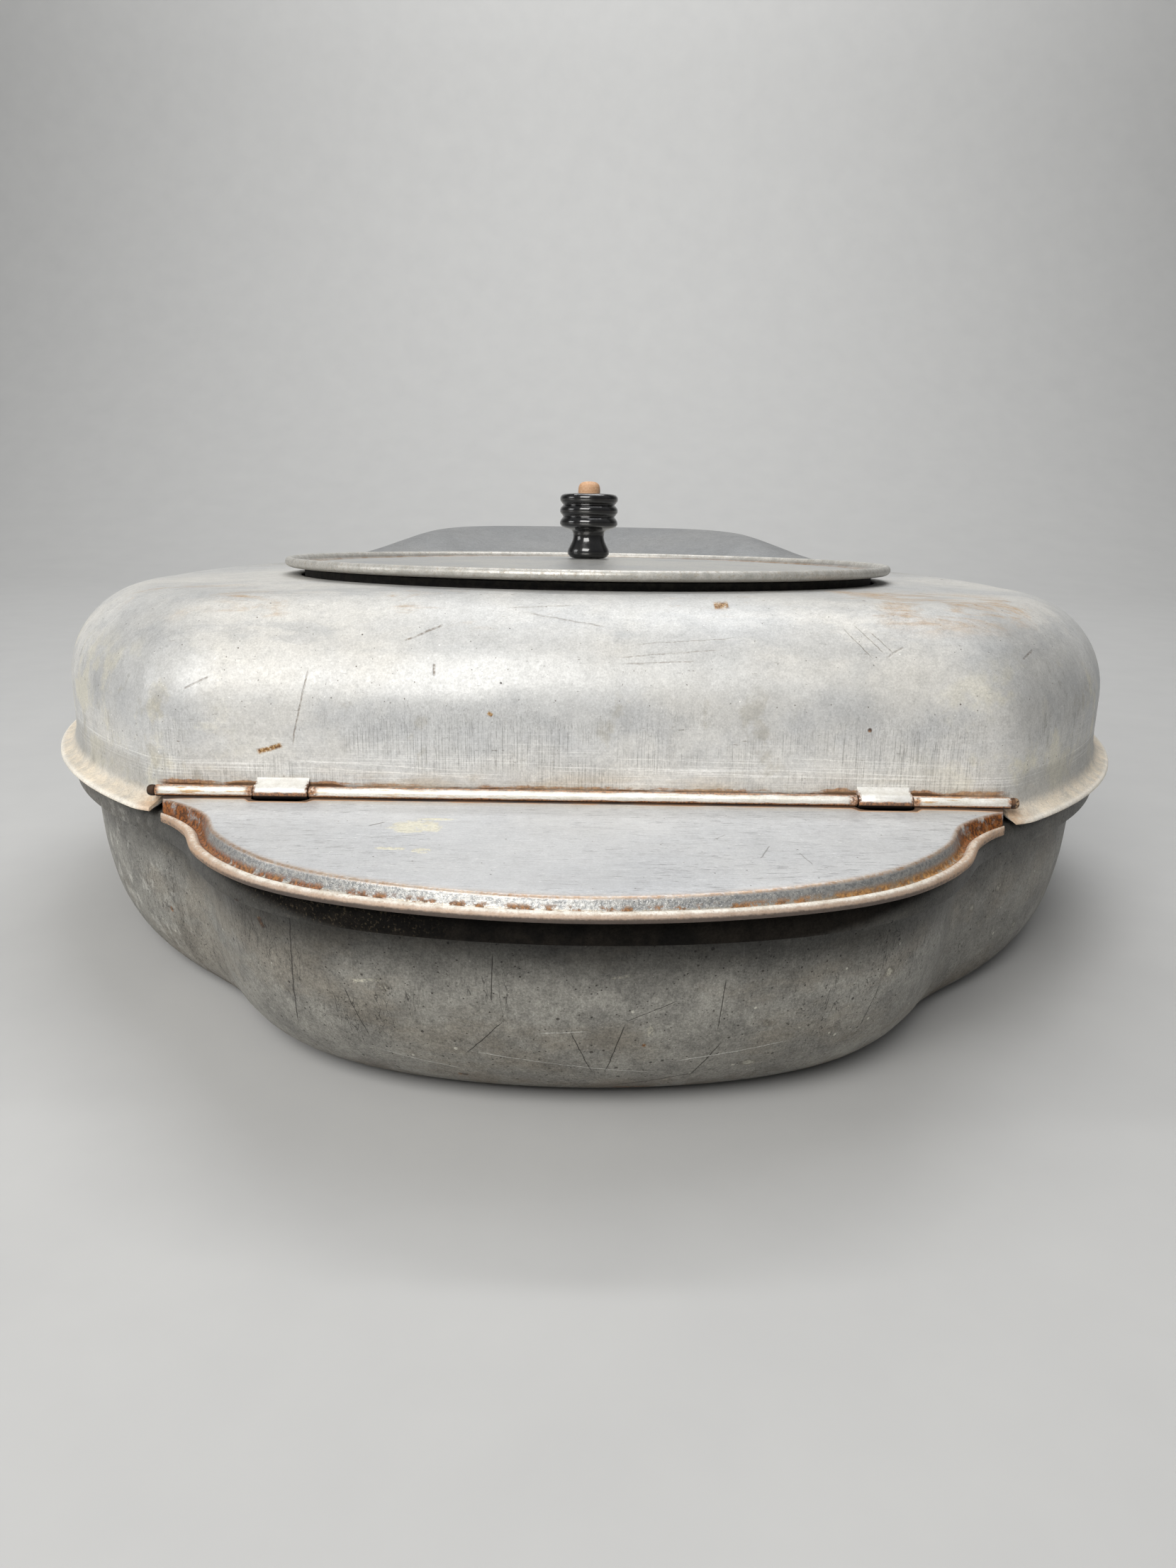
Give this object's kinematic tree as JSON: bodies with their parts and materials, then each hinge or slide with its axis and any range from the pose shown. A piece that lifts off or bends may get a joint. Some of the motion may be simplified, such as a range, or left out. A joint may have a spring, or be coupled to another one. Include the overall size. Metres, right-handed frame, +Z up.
{
  "type": "water bath",
  "caption": "Lobed sheet-metal water bath: bowl tub, half-moon front plate hinged to a deep rear cover, round lid with turned knob, perforated false bottom.",
  "frame": {"origin": "centre of the resting face, which is also the centre of the overall plan outline", "axes": "+Z up, -Y towards the front lobe with the half-moon plate, +Y towards the hinged cover's lobe, +X to the right seen from the front; the hinge pin runs along X"},
  "size_m": [0.475, 0.5475, 0.1846],
  "materials": {
    "tub": "dull pewter-grey plated sheet, fine vertical scratches, dark pits and pale spots",
    "rear_cover": "satin plated sheet with fine scratches, tan staining along the top front edge and a cream worn flange",
    "front_plate": "finely brushed plated sheet, rusty groove, cream worn lip and tubes",
    "lid": "satin plated sheet with a speckled cream bead",
    "lid_collar": "dull dark sheet",
    "rim_wire": "dark oxidised wire",
    "hinge_pin": "dark rusted steel rod",
    "knob": "glossy black, turned rings",
    "knob_plug": "worn tan wood",
    "fastener": "dull zinc-coloured steel",
    "shelf": "water-marked sheet and wire"
  },
  "bodies": {
    "tub": {"tub": "tub", "tub_rim_wire": "rim_wire"},
    "front_plate": {"front_plate": "front_plate", "hinge_pin": "hinge_pin"},
    "rear_cover": {"rear_cover": "rear_cover", "lid_collar": "lid_collar"},
    "lid": {"lid": "lid", "lid_rim_wire": "rim_wire", "knob": "knob", "knob_plug": "knob_plug", "knob_bolt": "fastener", "knob_washer": "fastener", "knob_nut": "fastener"},
    "false_bottom": {"shelf": "shelf", "shelf_leg_1": "shelf", "shelf_leg_2": "shelf", "shelf_leg_3": "shelf", "shelf_leg_4": "shelf", "shelf_loop_1": "shelf", "shelf_loop_2": "shelf"}
  },
  "joints": [
    {"name": "cover_set_lift", "type": "slide", "parent": "tub", "child": "front_plate", "axis": [0, 0, 1], "range_m": [0, 0.12]},
    {"name": "cover_hinge", "type": "hinge", "parent": "front_plate", "child": "rear_cover", "pos_m": [0, -0.184, 0.0825], "axis": [1, 0, 0], "range_deg": [0, 90]},
    {"name": "lid_lift", "type": "slide", "parent": "rear_cover", "child": "lid", "axis": [0, 0, 1], "range_m": [0, 0.09]},
    {"name": "shelf_lift", "type": "slide", "parent": "tub", "child": "false_bottom", "axis": [0, 0, 1], "range_m": [0, 0.03]}
  ]
}
